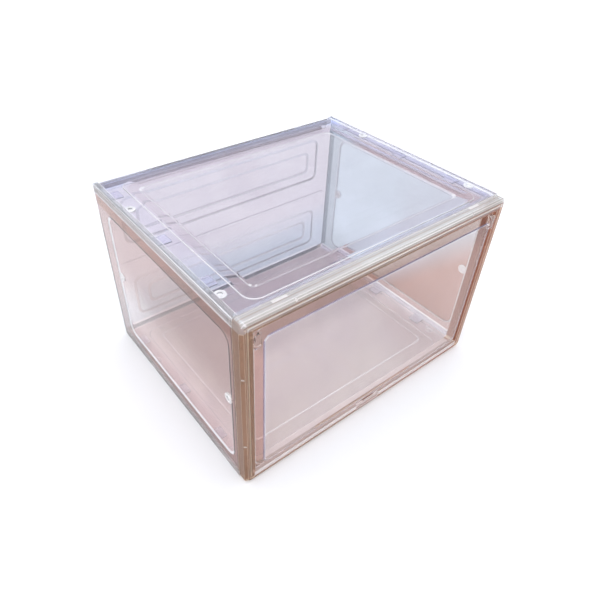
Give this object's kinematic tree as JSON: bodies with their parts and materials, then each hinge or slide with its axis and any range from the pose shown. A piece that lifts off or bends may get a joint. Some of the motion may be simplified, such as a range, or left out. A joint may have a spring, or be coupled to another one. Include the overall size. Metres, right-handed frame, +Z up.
{
  "type": "shoe box",
  "caption": "Clear plastic stacking shoe box: snap-together panels with pressed fields, a grooved front frame and a flip-up front door on moulded pins.",
  "frame": {"origin": "centre of the box's footprint, on the surface it stands on", "axes": "+X along the width to the right as seen from the front, +Z up, the door faces -Y"},
  "size_m": [0.345, 0.284, 0.22],
  "materials": {
    "clear_panel": "polished, clear, faintly pink",
    "clear_frame": "polished, clear, brown along its edges",
    "clear_door": "polished, clear, faintly pink"
  },
  "bodies": {
    "case": {"top_panel": "clear_panel", "bottom_panel": "clear_panel", "left_panel": "clear_panel", "right_panel": "clear_panel", "back_panel": "clear_panel", "front_frame": "clear_frame"},
    "door": {"front_door": "clear_door"}
  },
  "joints": [
    {"name": "door_hinge", "type": "hinge", "parent": "case", "child": "door", "pos_m": [0, -0.1362, 0.2], "axis": [-1, 0, 0], "range_deg": [0, 105]}
  ]
}
